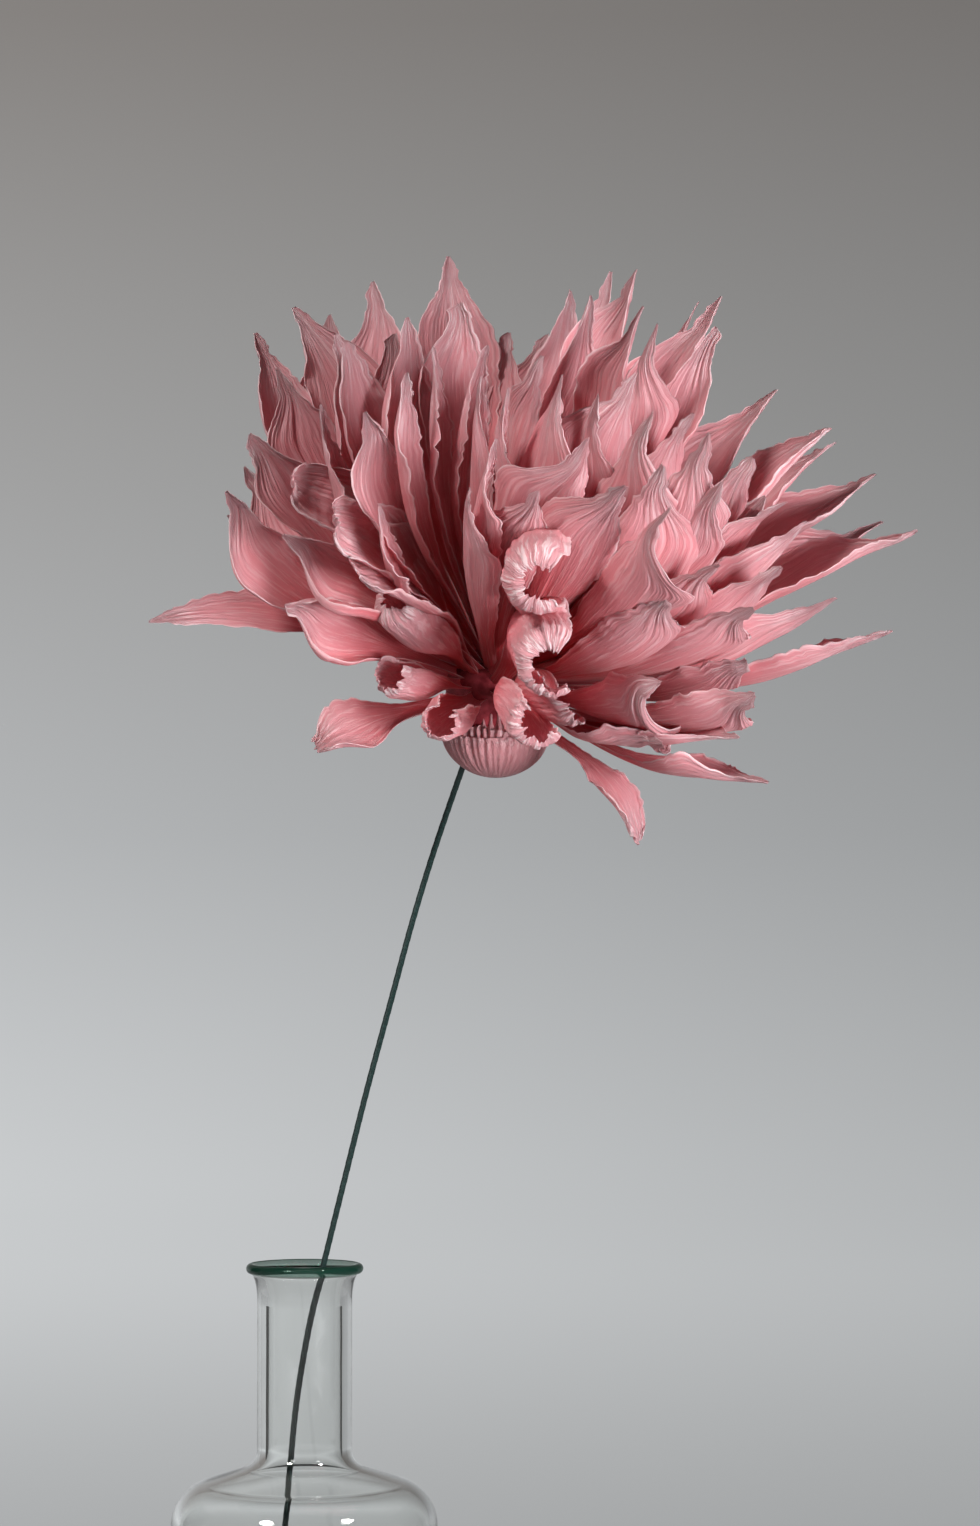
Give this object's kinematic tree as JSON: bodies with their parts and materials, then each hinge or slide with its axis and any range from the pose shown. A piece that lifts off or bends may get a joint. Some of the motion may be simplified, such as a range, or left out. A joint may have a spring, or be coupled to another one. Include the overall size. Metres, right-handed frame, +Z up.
{
  "type": "paper dahlia in a bud vase",
  "caption": "Handmade crepe-paper dahlia with pointed cupped petals on a thin wrapped wire stem, leaning out of a small clear glass bottle vase.",
  "frame": {"origin": "middle of the vase's flat base, on the surface that it stands on", "axes": "+Z up the vase's axis, +X the way the stem leans across the view, -Y the way the flower head tips forward"},
  "size_m": [0.1929, 0.1701, 0.3915],
  "materials": {
    "clear_glass": "polished, clear, faintly green where it is thick",
    "wrapped_wire": "matt dark green paper wrap over steel wire",
    "crepe_paper": "matt, lengthwise crepe crinkles, light passes through thin edges",
    "paper_pulp": "matt, rough, wound paper"
  },
  "bodies": {
    "root": {"vase": "clear_glass", "stem_wire": "wrapped_wire", "core": "paper_pulp", "calyx": "crepe_paper", "crown_petal_1": "crepe_paper", "crown_petal_2": "crepe_paper", "crown_petal_3": "crepe_paper", "crown_petal_4": "crepe_paper", "crown_petal_5": "crepe_paper", "upper_petal_1": "crepe_paper", "upper_petal_2": "crepe_paper", "upper_petal_3": "crepe_paper", "upper_petal_4": "crepe_paper", "upper_petal_5": "crepe_paper", "upper_petal_6": "crepe_paper", "upper_petal_7": "crepe_paper", "upper_petal_8": "crepe_paper", "middle_petal_1": "crepe_paper", "middle_petal_2": "crepe_paper", "middle_petal_3": "crepe_paper", "middle_petal_4": "crepe_paper", "middle_petal_5": "crepe_paper", "middle_petal_6": "crepe_paper", "middle_petal_7": "crepe_paper", "middle_petal_8": "crepe_paper", "middle_petal_9": "crepe_paper", "middle_petal_10": "crepe_paper", "outer_petal_1": "crepe_paper", "outer_petal_2": "crepe_paper", "outer_petal_3": "crepe_paper", "outer_petal_4": "crepe_paper", "outer_petal_5": "crepe_paper", "outer_petal_6": "crepe_paper", "outer_petal_7": "crepe_paper", "outer_petal_8": "crepe_paper", "outer_petal_9": "crepe_paper", "outer_petal_10": "crepe_paper", "outer_petal_11": "crepe_paper", "outer_petal_12": "crepe_paper", "outer_petal_13": "crepe_paper", "lower_petal_1": "crepe_paper", "lower_petal_2": "crepe_paper", "lower_petal_3": "crepe_paper", "lower_petal_4": "crepe_paper", "lower_petal_5": "crepe_paper", "lower_petal_6": "crepe_paper", "lower_petal_7": "crepe_paper", "lower_petal_8": "crepe_paper", "lower_petal_9": "crepe_paper", "lower_petal_10": "crepe_paper", "rolled_petal_1": "crepe_paper", "rolled_petal_2": "crepe_paper", "rolled_petal_3": "crepe_paper", "lowest_petal_1": "crepe_paper", "lowest_petal_2": "crepe_paper", "lowest_petal_3": "crepe_paper", "lowest_petal_4": "crepe_paper", "stray_petal_1": "crepe_paper", "drooping_petal_1": "crepe_paper", "drooping_petal_2": "crepe_paper"}
  },
  "joints": []
}
